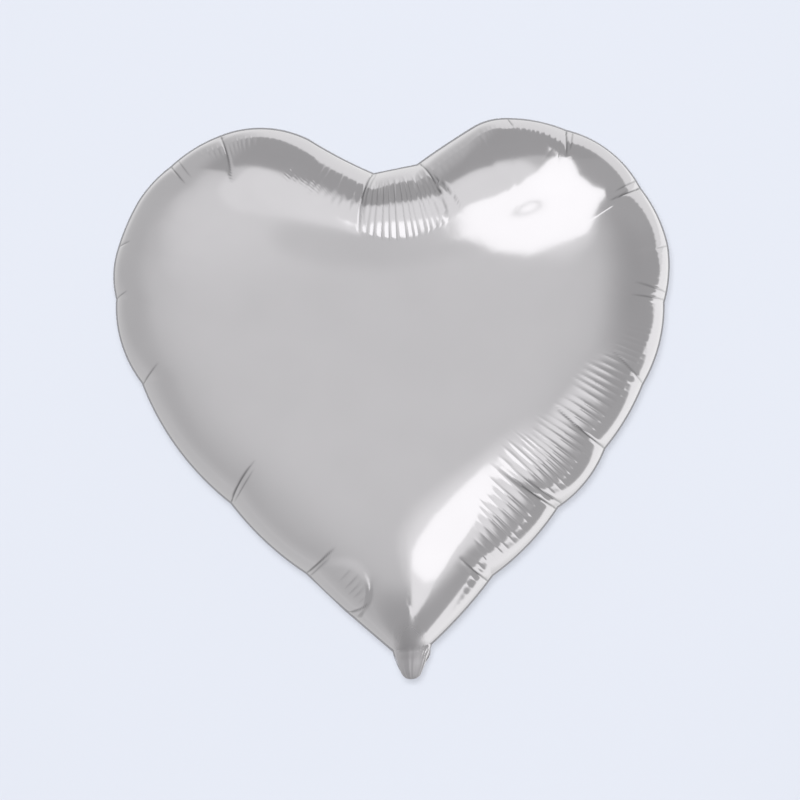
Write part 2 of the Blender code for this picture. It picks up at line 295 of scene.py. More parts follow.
def linear(hex_colour):
    """An sRGB hex colour as linear red, green, blue and alpha."""
    values = [int(hex_colour[i:i + 2], 16) / 255 for i in (0, 2, 4)]
    return (*[v / 12.92 if v <= 0.04045 else ((v + 0.055) / 1.055) ** 2.4 for v in values], 1.0)


def node(tree, kind, settings=(), **links):
    """Adds a shader node. A setting names a property or an input, or is an input's number. A link
    names an input, or its number after "in", and gives what feeds it. Underscores are spaces."""
    made = tree.nodes.new("ShaderNode" + kind)
    for key, value in dict(settings).items():
        if isinstance(key, str) and hasattr(made, key):
            setattr(made, key, value)
        else:
            made.inputs[key if isinstance(key, int) else key.replace("_", " ")].default_value = value
    for key, source in links.items():
        place = int(key[2:]) if key.startswith("in") and key[2:].isdigit() else key.replace("_", " ")
        tree.links.new(source, made.inputs[place])
    return made


def per_mm(size):
    """A texture's scale for a feature of this size in millimetres."""
    return 1.0 / (size * MM)


def start_material(name):
    made = bpy.data.materials.new(name)
    made.use_nodes = True
    made.node_tree.nodes.clear()
    return made, made.node_tree


def metallised_film(name, colour, roughness, crinkle):
    """Nylon film with aluminium evaporated on its outside: a mirror that is a little milky from the film's
    own fine grain, with soft crinkles from its roll and handling. Shade is painted into its colour where it
    is gathered and in tight folds."""
    made, tree = start_material(name)
    place = node(tree, "TexCoord").outputs["Object"]
    grain, dents, cloud = (
        node(tree, "TexNoise", {"Scale": per_mm(size), "Detail": detail}, Vector=place).outputs["Fac"]
        for size, detail in ((GRAIN_SIZE, 2.0), (DENT_SIZE, 1.5), (CLOUD_SIZE, 3.0))
    )
    gather, tuck = (
        node(tree, "Attribute", {"attribute_name": stored}).outputs["Fac"]
        for stored in ("gather", "tuck")
    )
    noise = {"From_Min": CLOUD_NOISE[0], "From_Max": CLOUD_NOISE[1]}
    low, high = (roughness * share for share in CLOUD_ROUGHNESS)
    tint, rough = (
        node(tree, "MapRange", {**noise, "To_Min": least, "To_Max": most}, Value=cloud).outputs["Result"]
        for least, most in ((CLOUD_DIM, 1.0), (low, high))
    )
    mix = {"data_type": "RGBA"}
    clouded = {**mix, "blend_type": "MULTIPLY", "Factor": 1.0, 6: linear(colour)}
    film = node(tree, "Mix", clouded, in7=tint).outputs[2]
    # Painted shade: the film's colour is darkened where it is gathered; its roughness rises there too
    film = node(tree, "Mix", {**mix, 7: linear(GATHERED_SHADE_COLOUR)}, in0=gather, in6=film).outputs[2]
    # Painted shade: darker still in tight folds, where the film mirrors only itself
    film = node(tree, "Mix", {**mix, 7: linear(PAINTED_FOLD_SHADE_COLOUR)}, in0=tuck, in6=film).outputs[2]
    scattering = {"operation": "MULTIPLY_ADD", 1: GATHERED_ROUGHNESS}
    rough = node(tree, "Math", scattering, in0=gather, in2=rough).outputs["Value"]
    dented = {"Strength": crinkle, "Distance": DENT_HEIGHT * MM}
    dented = node(tree, "Bump", dented, Height=dents).outputs["Normal"]
    grained = {"Strength": crinkle, "Distance": GRAIN_HEIGHT * MM}
    grained = node(tree, "Bump", grained, Height=grain, Normal=dented).outputs["Normal"]
    metal = {"Metallic": 1.0}
    shader = node(tree, "BsdfPrincipled", metal, Base_Color=film, Roughness=rough, Normal=grained)
    node(tree, "OutputMaterial", Surface=shader.outputs["BSDF"])
    return made


def clear_valve_film(name):
    """Blown polyethylene film, clear but a little cloudy, with its haze in streaks along it."""
    made, tree = start_material(name)
    place = node(tree, "TexCoord").outputs["Object"]
    scale = [per_mm(size) for size in HAZE_SIZES]
    streaks = node(tree, "Mapping", {"Scale": scale}, Vector=place).outputs["Vector"]
    haze = node(tree, "TexNoise", {"Scale": 1.0, "Detail": 3.0}, Vector=streaks).outputs["Fac"]
    rough, alpha = (
        node(tree, "MapRange", {"To_Min": low, "To_Max": high}, Value=haze).outputs["Result"]
        for low, high in (HAZE_ROUGHNESS, HAZE_ALPHA)
    )
    wavy = node(tree, "Bump", {"Strength": HAZE_BUMP, "Distance": HAZE_HEIGHT * MM}, Height=haze)
    shader = node(
        tree,
        "BsdfPrincipled",
        {"Base_Color": linear("E4E9EC"), "IOR": 1.51},
        Roughness=rough,
        Alpha=alpha,
        Normal=wavy.outputs["Normal"],
    )
    node(tree, "OutputMaterial", Surface=shader.outputs["BSDF"])
    return made


def glowing(name, strength):
    """The even white glow of a soft box's cloth or a lamp's glass."""
    made, tree = start_material(name)
    glow = node(tree, "Emission", {"Color": linear("FFFFFF"), "Strength": strength})
    node(tree, "OutputMaterial", Surface=glow.outputs["Emission"])
    return made


def add_piece(name, points, faces, finish):
    """A named mesh object from points in millimetres."""
    mesh = bpy.data.meshes.new(name)
    mesh.from_pydata((np.asarray(points) * MM).tolist(), [], faces)
    mesh.materials.append(finish)
    mesh.shade_smooth()
    made = bpy.data.objects.new(name, mesh)
    bpy.context.scene.collection.objects.link(made)
    return made


def give_values(piece, name, values):
    """Stores one number a vertex for the piece's material."""
    stored = piece.data.attributes.new(name, "FLOAT", "POINT")
    stored.data.foreach_set("value", np.asarray(values, np.float32))


def bowed(start, end, bow, steps):
    """Points on the arc from start towards end, end left out. A positive bow lies to the left."""
    start, end = np.array(start, float), np.array(end, float)
    chord = end - start
    half = np.linalg.norm(chord) / 2
    outward = np.array([-chord[1], chord[0]]) / (2 * half)
    share = np.arange(steps) / steps
    if abs(bow) < 0.01:
        return start + share[:, None] * chord
    radius = (half * half + bow * bow) / (2 * bow)
    half_angle = 2 * math.atan(bow / half)
    angle = (2 * share - 1) * half_angle
    along = half + radius * np.sin(angle)
    rise = radius * np.cos(angle) - (radius - bow)
    return start + along[:, None] * chord / (2 * half) + rise[:, None] * outward


def seam_outline(step):
    """The seam's outer edge as closely spaced points, its outward normals, and where each row of
    the table is in the list."""
    points, places = [], []
    for row, (x, z, bow) in enumerate(SEAM):
        next_x, next_z, _ = SEAM[(row + 1) % len(SEAM)]
        steps = max(2, round(math.hypot(next_x - x, next_z - z) / step))
        places.append(len(points))
        points.extend(bowed((x, z), (next_x, next_z), bow, steps))
    points = np.array(points)
    along = np.roll(points, -2, axis=0) - np.roll(points, 2, axis=0)
    normals = np.stack([-along[:, 1], along[:, 0]], axis=1)
    normals /= np.linalg.norm(normals, axis=1)[:, None]
    return points, normals, places


def smoothstep(value):
    value = np.clip(value, 0.0, 1.0)
    return value * value * (3 - 2 * value)


def in_parts(points, size):
    """Slices that take so many of the points at a time."""
    return [slice(start, start + size) for start in range(0, len(points), size)]


class Edge:
    """The panel's edge inside the weld, closed across the throat, the smoother outline that the
    whole panel follows, and the distance along it."""

    def __init__(self):
        outline, normals, places = seam_outline(COLUMN_STEP)
        first, last = places[THROAT_LEFT_ROW], places[THROAT_RIGHT_ROW] + len(outline)
        order = np.arange(first, last + 1) % len(outline)
        seam = outline[order] - WELD_WIDTH * normals[order]
        most = HALVINGS[-1][1]
        width = np.linalg.norm(seam[-1] - seam[0])
        steps = round(width / COLUMN_STEP)
        steps += -(len(seam) + steps - 1) % most
        across = np.arange(1, steps) / steps
        throat = seam[-1] + across[:, None] * (seam[0] - seam[-1])
        arch = THROAT_DEPTH * np.sqrt(1 - (2 * across - 1) ** 2)
        self.points = np.concatenate([seam, throat])
        self.arch = np.concatenate([np.zeros(len(seam)), arch])
        # The film is held flat at the weld, and as high as the throat's arch above the neck
        self.held = (self.arch / HALF_DEPTH / (1 + sum(FULLNESS))) ** 2
        self.count = len(self.points)
        middle = (seam[0] + seam[-1]) / 2
        step = np.linalg.norm(np.roll(self.points, -1, axis=0) - self.points, axis=1)
        at = np.concatenate([[0.0], np.cumsum(step)[:-1]])
        total = step.sum()
        away = np.linalg.norm(self.points - middle, axis=1)
        reach = np.minimum(SMOOTH_MOST, SMOOTH_GROWTH * np.maximum(0, away - width / 2)) + SMOOTH_LEAST
        apart = np.abs(at[:, None] - at[None, :])
        apart = np.minimum(apart, total - apart)
        weight = np.exp(-0.5 * (apart / reach[:, None]) ** 2) * (step + np.roll(step, 1))[None, :]
        self.smooth = weight @ self.points / weight.sum(axis=1)[:, None]
        ahead = np.roll(self.smooth, -1, axis=0) - self.smooth
        length = np.linalg.norm(ahead, axis=1)
        self.at = np.concatenate([[0.0], np.cumsum(length)[:-1]])
        self.total = length.sum()
        tangent = np.roll(self.smooth, -1, axis=0) - np.roll(self.smooth, 1, axis=0)
        self.tangent = tangent / np.linalg.norm(tangent, axis=1)[:, None]
        self.away = away
        wrinkles = sorted((self.nearest(row[:2]), *row) for row in WRINKLES)
        self.wrinkle_table = np.array(wrinkles).T
        self.columns = self.pick_columns(most)

    def wrinkled(self, at, column):
        """A column of the wrinkles' table, at distances along the edge."""
        return np.interp(at, self.wrinkle_table[0], self.wrinkle_table[1 + column], period=self.total)

    def pick_columns(self, most):
        """Points that the panel's columns start from: all where it is wrinkled, fewer elsewhere."""
        by_reach = self.wrinkled(self.at, 2) / WRINKLE_REACH_FULL
        by_height = self.wrinkled(self.at, 3) / WRINKLE_HEIGHT_FULL
        keep = np.clip(np.maximum(by_height, by_reach), SPARSEST, 1.0)
        for row in CREASES:
            gap = np.abs(self.at - self.nearest(row[:2]))
            gap = np.minimum(gap, self.total - gap)
            thin = CREASE_SPAN_FADE * CREASE_SPAN
            keep = np.maximum(keep, smoothstep((CREASE_SPAN + thin - gap) / thin))
        running = np.concatenate([[0.0], np.cumsum(keep)])
        count = int(running[-1] // most) * most
        wanted = np.arange(count) * running[-1] / count
        return np.unique(np.searchsorted(running, wanted, side="right") - 1)

    def nearest(self, place):
        """The distance along the edge of its point nearest to a place."""
        return self.at[np.linalg.norm(self.smooth - np.array(place), axis=1).argmin()]

    def foot(self, flat):
        """For each flat point, the distance along the seam of its nearest seam point, and its
        distance from there."""
        at, depth = np.zeros(len(flat)), np.zeros(len(flat))
        for here in in_parts(flat, FEET_AT_ONCE):
            part = flat[here]
            square = (part ** 2).sum(axis=1)[:, None] + (self.smooth ** 2).sum(axis=1)[None, :]
            near = (square - 2 * part @ self.smooth.T).argmin(axis=1)
            slip = ((part - self.smooth[near]) * self.tangent[near]).sum(axis=1)
            other = (near + np.where(slip > 0, 1, -1)) % self.count
            slip_there = ((part - self.smooth[other]) * self.tangent[other]).sum(axis=1)
            share = np.clip(slip / np.where(slip == slip_there, 1.0, slip - slip_there), 0.0, 1.0)
            gap = self.at[other] - self.at[near]
            gap = (gap + self.total / 2) % self.total - self.total / 2
            at[here] = self.at[near] + share * gap
            closest = self.smooth[near] + share[:, None] * (self.smooth[other] - self.smooth[near])
            depth[here] = np.linalg.norm(part - closest, axis=1)
        return at, depth


# Charges outside the edge give the film's rise anywhere inside it, without a mesh's noise: how far
# out they stand, and the spacing of charges and of checked points as shares of that.
SOURCE_MOST = 13.0
SOURCE_LEAST = 2.0
SOURCE_GROWTH = 0.35
SOURCE_SPACING = 0.55
SOURCE_CHECKS = 0.22
UNIT = 100.0  # millimetres in the fit's own unit, which keeps its numbers near one
LEAST_SINGULAR = 1e-9  # of the fit, as a share of the largest
SEARCH_FOR_HIGHEST = (0.0, -50.0)  # the film is highest on the line from the crown that ends here
SPOTS_AT_ONCE = 8000


class Rise:
    """The rise of an evenly loaded film held at the edge, as a share of its highest."""

    def __init__(self, edge):
        offset = np.clip(SOURCE_GROWTH * edge.away, SOURCE_LEAST, SOURCE_MOST)
        picked, checked = [], []
        for kept, spacing in ((picked, SOURCE_SPACING), (checked, SOURCE_CHECKS)):
            at = 0.0
            while at < edge.total - 1.0:
                index = int(np.searchsorted(edge.at, at, side="right") - 1)
                kept.append(index)
                at += spacing * offset[index]
        picked, checked = np.unique(picked), np.unique(checked)
        outward = np.stack([-edge.tangent[:, 1], edge.tangent[:, 0]], axis=1)
        self.sources = (edge.smooth + offset[:, None] * outward)[picked] / UNIT
        self.middle = np.array(CROWN) / UNIT
        spots = edge.smooth[checked] / UNIT
        terms = self.terms(spots)
        load = ((spots - self.middle) ** 2).sum(axis=1) / 4
        loaded = np.linalg.lstsq(terms, load, rcond=LEAST_SINGULAR)[0]
        pulled = np.linalg.lstsq(terms, edge.held[checked], rcond=LEAST_SINGULAR)[0]
        inside = self.middle + np.linspace(0, 1, 60)[:, None] * np.array(SEARCH_FOR_HIGHEST) / UNIT
        square = ((inside - self.middle) ** 2).sum(axis=1)
        highest = (self.terms(inside) @ loaded - square / 4).max()
        self.charges = loaded / highest + pulled
        self.load = 1 / highest
        self.scale = (self.terms(inside) @ self.charges - self.load * square / 4).max()

    def terms(self, spots):
        apart = spots[:, None, :] - self.sources[None, :, :]
        return np.concatenate([0.5 * np.log((apart ** 2).sum(axis=2)), np.ones((len(spots), 1))], axis=1)

    def at(self, flat):
        """The share and its slope per millimetre at flat points."""
        share, slope = np.zeros(len(flat)), np.zeros((len(flat), 2))
        for here in in_parts(flat, SPOTS_AT_ONCE):
            spots = flat[here] / UNIT
            apart = spots[:, None, :] - self.sources[None, :, :]
            square = (apart ** 2).sum(axis=2)
            from_middle = spots - self.middle
            share[here] = self.terms(spots) @ self.charges - self.load * (from_middle ** 2).sum(axis=1) / 4
            pull = np.einsum("ij,ijk->ik", self.charges[:-1] / square, apart)
            slope[here] = pull - self.load * from_middle / 2
        return share / self.scale, slope / self.scale / UNIT


def panel_rings(edge):
    """Ring and column of each vertex, and the faces between them. Columns are dropped towards the
    crown, where they would crowd."""
    shares = np.linspace(0, 1, RINGS + 1)[:-1]
    rings, columns, starts = [], [], []
    for ring, share in enumerate(shares):
        drop = max([1] + [d for limit, d in HALVINGS if share >= limit])
        picked = edge.columns[::drop]
        starts.append(sum(len(c) for c in columns))
        columns.append(picked)
        rings.append(np.full(len(picked), ring))
    faces = []
    for ring in range(RINGS - 1):
        many, few = len(columns[ring]), len(columns[ring + 1])
        outer, inner = starts[ring], starts[ring + 1]
        here = np.arange(few)
        after = (here + 1) % few
        if many == few:
            faces.append((outer + here, outer + after, inner + after))
            faces.append((outer + here, inner + after, inner + here))
        else:
            first, middle, last = 2 * here, 2 * here + 1, (2 * here + 2) % many
            faces.append((outer + first, outer + middle, inner + here))
            faces.append((outer + middle, inner + after, inner + here))
            faces.append((outer + middle, outer + last, inner + after))
    top = np.full(len(here), starts[-1] + len(here))
    faces.append((starts[-1] + here, starts[-1] + after, top))
    faces = [np.stack(corners, axis=1) for corners in faces]
    return np.concatenate(rings), np.concatenate(columns), np.concatenate(faces)


def wrinkle_height(edge, at, depth, rng, gain):
    """Fine wrinkles square to the seam, each with its own spacing, height and reach."""
    tops, here = [], 0.0
    while here < edge.total:
        tops.append(here)
        here += float(edge.wrinkled(here, 4)) * rng.uniform(*WRINKLE_SPACINGS)
    tops = np.array(tops) * edge.total / here
    count = len(tops)
    reach_share = rng.uniform(*WRINKLE_REACHES, count)
    height_share = rng.uniform(*WRINKLE_HEIGHTS, count)
    index = np.arange(count)
    phase = np.interp(at, np.append(tops, edge.total), np.append(index, count))
    reach = edge.wrinkled(at, 2) * np.interp(phase, index, reach_share, period=count)
    height = edge.wrinkled(at, 3) * np.interp(phase, index, height_share, period=count)
    begin = np.clip(WRINKLE_BEGIN * reach, *WRINKLE_BEGINS)
    fade = smoothstep((reach - depth) / (WRINKLE_FADE * reach))
    fade *= smoothstep((depth - begin) / (WRINKLE_RISE * reach))
    wave = np.exp(WRINKLE_CREST * (np.cos(2 * math.pi * phase) - 1)) - WRINKLE_MEAN
    return gain * height * fade * wave


def pillow_height(edge, at, depth):
    """The low pillow between each two puckers."""
    places = np.sort([edge.nearest((x, z)) for x, z, _ in SEAM[THROAT_LEFT_ROW:] + SEAM[:FOLD_ROW]])
    places = np.append(places, places[0] + edge.total)
    where = places[0] + (at - places[0]) % edge.total
    row = np.clip(np.searchsorted(places, where, side="right") - 1, 0, len(places) - 2)
    length = places[row + 1] - places[row]
    share = (where - places[row]) / length
    rise = np.sin(math.pi * share) ** PILLOW_POWER - PILLOW_MEAN
    return PILLOW_SHARE * length * rise * depth / PILLOW_DEPTH * np.exp(1 - depth / PILLOW_DEPTH)


def crease_depth(flat, creases):
    """Sharp folds that run in from the puckers, with low shoulders, and how near each point is to the bottom
    of one, which is painted dark as shade."""
    total, tuck = np.zeros(len(flat)), np.zeros(len(flat))
    for x, z, end_x, end_z, deep, wide, bow, pull in creases:
        start, end = np.array([x, z]), np.array([end_x, end_z])
        length = np.linalg.norm(end - start)
        forward = (end - start) / length
        along = (flat - start) @ forward
        across = (flat - start) @ np.array([-forward[1], forward[0]])
        share = np.clip(along / length, 0.0, 1.0)
        across = across - 4 * bow * share * (1 - share)
        taper = np.where(along > length, 0.0, 1 - share ** 3)
        taper = taper * np.exp(-((np.minimum(along, 0.0) / CREASE_START) ** 2))
        spread = np.sqrt(across ** 2 + CREASE_ROUND ** 2)
        shoulder = PINCH * np.exp(-spread / (SHOULDER_WIDTH * wide))
        fold = (1 + PINCH) * np.exp(-spread / wide) - shoulder
        total -= taper * (deep * fold + pull * np.exp(-((across / VALLEY_WIDTH) ** 2)))
        # Painted shade along the fold's bottom, where the film mirrors only itself
        tuck = np.maximum(tuck, min(1.0, deep) * taper * np.exp(-((across / FOLD_LINE) ** 2)))
    return total, tuck


def pleat_height(flat, depth, rng):
    """Pleats under the cleft, between its two long creases, and the painted shade line at each one's foot.
    Each has a short steep side and a long one that falls to the right."""
    down = (PLEAT_TOP - flat[:, 1]) / PLEAT_DROP
    left = PLEAT_LEFT[0] + (PLEAT_LEFT[1] - PLEAT_LEFT[0]) * down
    right = PLEAT_RIGHT[0] + (PLEAT_RIGHT[1] - PLEAT_RIGHT[0]) * down
    share = (flat[:, 0] - left) / (right - left)
    edges = np.cumsum(np.append(0.0, rng.uniform(*PLEAT_WIDTHS, PLEATS)))
    edges /= edges[-1]
    tall = rng.uniform(*PLEAT_HEIGHTS, PLEATS)
    index = np.clip(np.searchsorted(edges, share, side="right") - 1, 0, PLEATS - 1)
    part = (share - edges[index]) / (edges[index + 1] - edges[index])
    rise = np.minimum(part / PLEAT_STEEP, (1 - part) / (1 - PLEAT_STEEP))
    end = PLEAT_DEPTHS[1] + PLEAT_BULGE * np.sin(math.pi * np.clip(share, 0, 1))
    fade = smoothstep((depth - PLEAT_DEPTHS[0]) / PLEAT_FADES[0]) * smoothstep((end - depth) / PLEAT_FADES[1])
    fade = fade * tall[index] * ((share > 0) & (share < 1) & (down < PLEAT_DROPS))
    gap = np.minimum(part, 1 - part) * (right - left) * (edges[index + 1] - edges[index])
    # Painted shade along each pleat's foot
    tuck = PLEAT_PAINTED_SHADE * fade * np.exp(-((gap / PLEAT_LINE) ** 2))
    return PLEAT_HEIGHT * np.maximum(rise, 0) * fade, tuck


def pouch_height(flat):
    """A small slack pouch whose inner border stands up sharply."""
    along = np.array(POUCH_ALONG)
    inward = np.array([along[1], -along[0]])
    from_seam = flat - np.array(POUCH_PLACE)
    reach = np.sqrt(
        (from_seam @ along / POUCH_HALF_WIDTH) ** 2 + (np.maximum(0, from_seam @ inward) / POUCH_REACH) ** 2
    )
    return POUCH_HEIGHT * smoothstep((1 - reach) / POUCH_EDGE)


def gathered(flat):
    """How much the film is gathered at the neck and just above it."""
    apart = (flat - GATHER_PLACE) / GATHER_REACH
    apart[:, 1] = np.maximum(apart[:, 1], 0.0)
    return smoothstep(GATHER_FULL * (1 - np.linalg.norm(apart, axis=1)))


def add_panel(name, side, edge, rise, finish, seed, gain, creases):
    """One film of the envelope, dished out to the front (side -1) or back (side 1)."""
    ring, column, faces = panel_rings(edge)
    turn = ring / RINGS * math.pi / 2
    shrink = np.cos(turn)
    crown = np.array(CROWN)
    base = crown + shrink[:, None] * (edge.smooth[column] - crown)
    share, slope = rise.at(base)
    edge_share = np.zeros(edge.count)
    edge_share[column[ring == 0]] = share[ring == 0]
    # What the charges leave over at the edge is taken off along each rib
    share = np.clip(share - (edge_share - edge.held)[column] * shrink ** 4, 0.0, 1.0)
    slack = 1 - share
    full = 1 + FULLNESS[0] * slack + FULLNESS[1] * slack ** 2
    stand = HALF_DEPTH * np.sqrt(share) * full
    root = np.sqrt(np.maximum(share, SHARE_LEAST))
    steep = HALF_DEPTH * (full / (2 * root) - root * (FULLNESS[0] + 2 * FULLNESS[1] * slack))
    outward = np.full(len(base), float(side))
    normal = np.stack([-steep * slope[:, 0], outward, -steep * slope[:, 1]], axis=1)
    normal /= np.linalg.norm(normal, axis=1)[:, None]
    at, depth = edge.foot(base)
    carry = np.exp(-((depth / SCALLOP_REACH) ** 2))
    flat = base + (carry * shrink ** 2)[:, None] * (edge.points - edge.smooth)[column]
    clear = (edge.arch[column] == 0) | (depth > THROAT_CLEAR)
    rng = np.random.default_rng(seed)
    lift = wrinkle_height(edge, at, depth, rng, gain)
    folded, tuck = crease_depth(flat, creases)
    lift += folded * smoothstep(depth / EDGE_FADES[0])
    lift += pillow_height(edge, at, depth)
    if side < 0:
        lift += pouch_height(flat) * smoothstep(depth / EDGE_FADES[1])
        pleated, pleat_tuck = pleat_height(flat, depth, rng)
        lift += pleated
        tuck = np.maximum(tuck, pleat_tuck)
    lift *= clear
    points = np.stack([flat[:, 0], side * stand, flat[:, 1]], axis=1) + lift[:, None] * normal
    points = np.concatenate([points, [[crown[0], side * HALF_DEPTH, crown[1]]]])
    faces = faces[:, ::-1] if side < 0 else faces
    panel = add_piece(name, points, faces.tolist(), finish)
    # Painted shade in the folds, and how gathered the film is, for the material
    give_values(panel, "tuck", np.append(tuck, 0.0))
    give_values(panel, "gather", np.append(gathered(flat), 0.0))
    return panel


def thick_sheet(name, grid, thickness, finish):
    """A sheet of film through a grid of points, closed round its edges."""
    grid = np.asarray(grid, float)
    rows, columns = grid.shape[:2]
    down = np.gradient(grid, axis=0)
    over = np.gradient(grid, axis=1)
    normal = np.cross(down, over)
    normal /= np.maximum(np.linalg.norm(normal, axis=2), 1e-9)[:, :, None]
    outer = (grid + normal * thickness / 2).reshape(-1, 3)
    inner = (grid - normal * thickness / 2).reshape(-1, 3)
    count = rows * columns
    faces = []
    for r in range(rows - 1):
        for c in range(columns - 1):
            a, b = r * columns + c, r * columns + c + 1
            low, next_low = a + columns, b + columns
            faces.append((a, low, next_low, b))
            faces.append((count + a, count + b, count + next_low, count + low))
    border = list(range(columns))
    border += [r * columns + columns - 1 for r in range(1, rows)]
    border += [(rows - 1) * columns + c for c in range(columns - 2, -1, -1)]
    border += [r * columns for r in range(rows - 2, 0, -1)]
    for here, after in zip(border, border[1:] + border[:1]):
        faces.append((here, after, count + after, count + here))
    return add_piece(name, np.concatenate([outer, inner]), faces, finish)


def curve_through(rows, count):
    """A smooth curve through the rows of a table, as count evenly shared rows."""
    rows = np.asarray(rows, float)
    place = np.linspace(0, len(rows) - 1, count)
    first = np.clip(place.astype(int), 0, len(rows) - 2)
    share = (place - first)[:, None]
    slopes = np.gradient(rows, axis=0)
    start, end = rows[first], rows[first + 1]
    leave, arrive = slopes[first], slopes[first + 1]
    square, cube = share ** 2, share ** 3
    return (
        (2 * cube - 3 * square + 1) * start
        + (cube - 2 * square + share) * leave
        + (3 * square - 2 * cube) * end
        + (cube - square) * arrive
    )


def neck_set_back(z):
    """How far back the neck's middle is at a height."""
    table = np.array(NECK_SECTIONS)[::-1]
    return np.interp(z, (table[:, 1] + table[:, 3]) / 2, table[:, 5])


def add_rim(finish):
    """The heat weld: a narrow flat rim that ripples a little and follows the seam's puckers."""
    outline, normals, places = seam_outline(RIM_STEP)
    first, last = places[FOLD_ROW + 1], places[FOLD_ROW] + len(outline)
    order = np.arange(first, last + 1) % len(outline)
    outer, outward = outline[order], normals[order]
    count = len(order)
    ends = np.minimum(np.arange(count), np.arange(count)[::-1]) * RIM_STEP
    narrowed = RIM_END_SHARE + (1 - RIM_END_SHARE) * smoothstep((ends - RIM_END_FROM) / RIM_END_LENGTH)
    width = (WELD_WIDTH + WELD_TUCK) * narrowed
    rng = np.random.default_rng(31)
    at = np.arange(count) * RIM_STEP
    ripple = np.zeros(count)
    for wavelength, height in RIM_RIPPLES:
        turn = 2 * math.pi * at / wavelength + rng.uniform(*RIM_RIPPLE_PHASES) + np.sin(at / RIM_RIPPLE_DRIFT)
        ripple += height * np.sin(turn)
    back = neck_set_back(outer[:, 1])
    rows = []
    for across in np.linspace(0, 1, RIM_ROWS):
        flat = outer - (across * width)[:, None] * outward
        rows.append(np.stack([flat[:, 0], back + ripple * (1 - across), flat[:, 1]], axis=1))
    return thick_sheet("rim_weld", rows, RIM_THICKNESS, finish)


def add_neck(finish):
    """The neck: film gathered from the throat down, and folded back at its round bottom."""
    table = curve_through(NECK_SECTIONS, NECK_ROWS)
    turns = np.arange(NECK_SIDES) * 2 * math.pi / NECK_SIDES
    rng = np.random.default_rng(8)
    gathers = []
    for folds, height in NECK_GATHERS:
        turn = rng.uniform(0, 2 * math.pi)
        gathers.append((folds, height, turn, rng.uniform(-NECK_GATHER_DRIFT, NECK_GATHER_DRIFT)))
    points = []
    for row, (left_x, left_z, right_x, right_z, deep, back) in enumerate(table):
        share = (1 + np.cos(turns)) / 2
        gather = sum(h * np.sin(n * turns + turn + row * drift) for n, h, turn, drift in gathers)
        down = row / (NECK_ROWS - 1)
        gather = gather * math.sin(math.pi * down) ** 0.5 * np.abs(np.sin(turns))
        x = left_x + share * (right_x - left_x)
        z = left_z + share * (right_z - left_z)
        from_crumple = np.hypot(x - CRUMPLE_PLACE[0], z - CRUMPLE_PLACE[1]) / CRUMPLE_REACH
        first, second, lower = (np.sin(a * x + b * z) for a, b in CRUMPLE_WAVES)
        crumple = first * second + lower / 2
        gather = gather + CRUMPLE_HEIGHT * crumple * np.exp(-(from_crumple ** 2))
        y = back + max(deep, NECK_LEAST_DEPTH) * np.sin(turns) + gather * np.sign(np.sin(turns))
        points.append(np.stack([x, y, z], axis=1))
    points = np.concatenate(points)
    faces = []
    for row in range(NECK_ROWS - 1):
        for side in range(NECK_SIDES):
            upper, lower = row * NECK_SIDES, (row + 1) * NECK_SIDES
            after = (side + 1) % NECK_SIDES
            faces.append((upper + after, upper + side, lower + side, lower + after))
    bottom = len(points)
    points = np.concatenate([points, points[-NECK_SIDES:].mean(axis=0, keepdims=True)])
    last = bottom - NECK_SIDES
    faces += [(last + (side + 1) % NECK_SIDES, last + side, bottom) for side in range(NECK_SIDES)]
    neck = add_piece("neck_film", points, faces, finish)
    give_values(neck, "gather", gathered(points[:, [0, 2]]))
    return neck


# Tail pieces are made along +Z from the fold and then leaned back
def leaned(points):
    """Moves points from the tail's own axes to the part's."""
    lean = math.radians(TAIL_LEAN)
    x, out, along = np.moveaxis(np.asarray(points, float), -1, 0)
    y = FOLD_Y + out * math.cos(lean) + along * math.sin(lean)
    z = FOLD_Z - out * math.sin(lean) + along * math.cos(lean)
    return np.stack([x, y, z], axis=-1)


def tail_half_width(along):
    share = smoothstep(np.asarray(along, float) / TAIL_WIDEN)
    return TAIL_ROOT_HALF_WIDTH + share * (TAIL_HALF_WIDTH - TAIL_ROOT_HALF_WIDTH)


def valve_half_width(along):
    return np.minimum(VALVE_HALF_WIDTH, tail_half_width(along) - TAIL_WELD_WIDTH - VALVE_WELD_GAP)


def tail_sheet(name, out, ends, half_width, thickness, finish, seed, full, wrap=0.0):
    """A film of the tail or its valve, with gathers that run out from the fold."""
    phases = np.random.default_rng(seed).uniform(0, 2 * math.pi, len(TAIL_GATHERS))
    across = np.linspace(-1, 1, TAIL_COLUMNS)
    even = np.ones(TAIL_COLUMNS)
    rows = []
    if wrap:
        for turn in np.radians(np.linspace(-wrap, 0, TAIL_WRAP_ROWS, endpoint=False)):
            place = (across * TAIL_ROOT_HALF_WIDTH, even * out * math.cos(turn), even * out * math.sin(turn))
            rows.append(np.stack(place, axis=1))
    for along in np.linspace(*ends, TAIL_ROWS):
        waves = [h * np.sin(n * across * math.pi + p) for (n, h), p in zip(TAIL_GATHERS, phases)]
        gather = np.exp(-along / TAIL_GATHER_REACH) * sum(waves)
        gather = TAIL_GATHER_SHARE * gather * smoothstep(along / TAIL_GATHER_FROM) * np.sign(out)
        free = smoothstep(along / TAIL_FULL_FROM) * (1 - across ** 2)
        sway = TAIL_SWAY * math.sin(along / TAIL_SWAY_LENGTH + phases[0]) * free
        y = out + full * free + gather + sway
        rows.append(np.stack([across * half_width(along), y, even * along], axis=1))
    return thick_sheet(name, leaned(rows), thickness, finish)


def add_tail_weld(name, side, finish):
    """The tail's side weld, crimped across by the sealing bar."""
    stations = np.linspace(TAIL_WELD_START, BACK_FILM_LENGTH, TAIL_WELD_STATIONS)
    crimp = CRIMP_HEIGHT * np.sin(2 * math.pi * stations / CRIMP_SPACING)
    rows = []
    for share in np.linspace(0, 1, TAIL_WELD_ROWS):
        x = side * (tail_half_width(stations) - share * TAIL_WELD_WIDTH)
        rows.append(np.stack([x, crimp * math.sin(math.pi * share), stations], axis=1))
    return thick_sheet(name, leaned(rows), TAIL_WELD_THICKNESS, finish)


